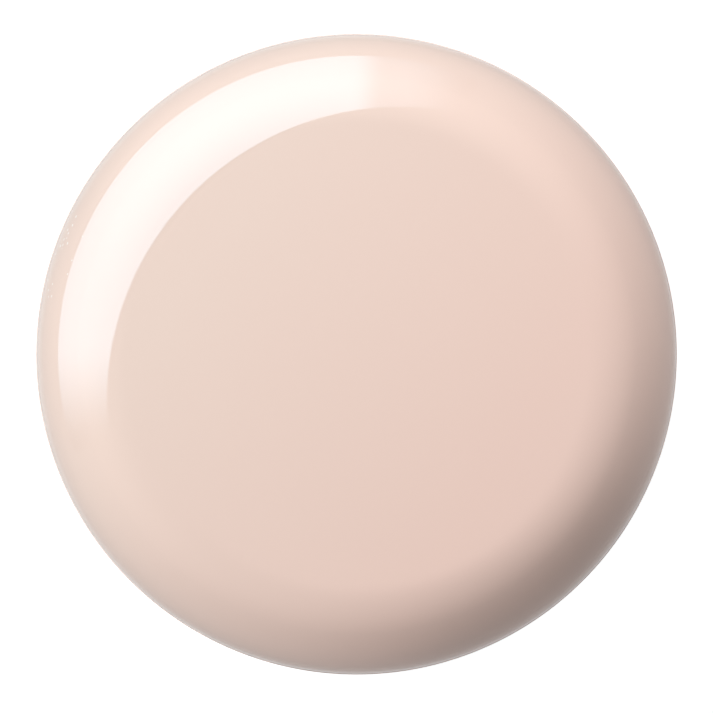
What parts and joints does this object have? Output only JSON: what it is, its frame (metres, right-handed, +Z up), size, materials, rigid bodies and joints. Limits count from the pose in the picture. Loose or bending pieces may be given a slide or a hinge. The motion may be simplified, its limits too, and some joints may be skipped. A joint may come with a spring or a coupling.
{
  "type": "nail polish bottle",
  "caption": "Squat round nail polish bottle with threaded glass, brush applicator, mixing balls and a wide glossy domed pull-off over-cap.",
  "frame": {"origin": "middle of the ring the bottle stands on, on its axis", "axes": "+Z up along the bottle's axis; +X towards one mixing ball and along the wide side of the brush; +Y to the rear"},
  "size_m": [0.034, 0.034, 0.0617],
  "materials": {
    "clear_glass": "clear, polished",
    "nude_polish": "glossy liquid lacquer",
    "label_paper": "matte blank label",
    "champagne_metal": "satin anodised",
    "ball_steel": "polished",
    "seal_foam": "soft foamed liner",
    "seal_plastic": "soft translucent",
    "inner_cap_plastic": "moulded, satin",
    "ring_rubber": "matte",
    "stem_plastic": "smooth moulded",
    "anchor_metal": "plain",
    "bristles": "fine nylon filaments",
    "nude_lacquer": "high gloss lacquer",
    "insert_plastic": "moulded",
    "weight_steel": "zinc plated",
    "pad_foam": "closed cell foam"
  },
  "bodies": {
    "bottle": {"glass_bottle": "clear_glass", "polish": "nude_polish", "base_label": "label_paper", "neck_collar": "champagne_metal"},
    "mixing_ball_1": {"mixing_ball_1": "ball_steel"},
    "mixing_ball_2": {"mixing_ball_2": "ball_steel"},
    "rim_seal": {"sealing_washer": "seal_foam"},
    "bore_seal": {"plug_seal": "seal_plastic"},
    "applicator": {"inner_cap": "inner_cap_plastic", "grip_ring": "ring_rubber", "brush_stem": "stem_plastic", "brush_anchor": "anchor_metal", "brush_tuft": "bristles"},
    "over_cap": {"dome_cap": "nude_lacquer", "over_cap_sleeve": "nude_lacquer", "cap_insert": "insert_plastic", "cap_weight": "weight_steel", "trim_ring": "champagne_metal", "foam_pad": "pad_foam"}
  },
  "joints": [
    {"name": "applicator_lift", "type": "slide", "parent": "bottle", "child": "rim_seal", "axis": [0, 0, 1], "range_m": [0, 0.05], "deforming": ["polish"]},
    {"name": "cap_rise", "type": "slide", "parent": "rim_seal", "child": "bore_seal", "axis": [0, 0, 1], "range_m": [0, 0.00265]},
    {"name": "cap_turn", "type": "hinge", "parent": "bore_seal", "child": "applicator", "pos_m": [0, 0, 0.044], "axis": [0, 0, 1], "range_deg": [0, 450]},
    {"name": "over_cap_pull", "type": "slide", "parent": "applicator", "child": "over_cap", "axis": [0, 0, 1], "range_m": [0, 0.03]},
    {"name": "ball_1_rattle", "type": "slide", "parent": "bottle", "child": "mixing_ball_1", "axis": [0, 0, 1], "range_m": [0, 0.017], "deforming": ["polish"]},
    {"name": "ball_2_rattle", "type": "slide", "parent": "bottle", "child": "mixing_ball_2", "axis": [0, 0, 1], "range_m": [0, 0.017], "deforming": ["polish"]}
  ],
  "couplings": [
    {"joint": "cap_rise", "follows": "cap_turn", "m_per_rad": 0.00033693}
  ]
}
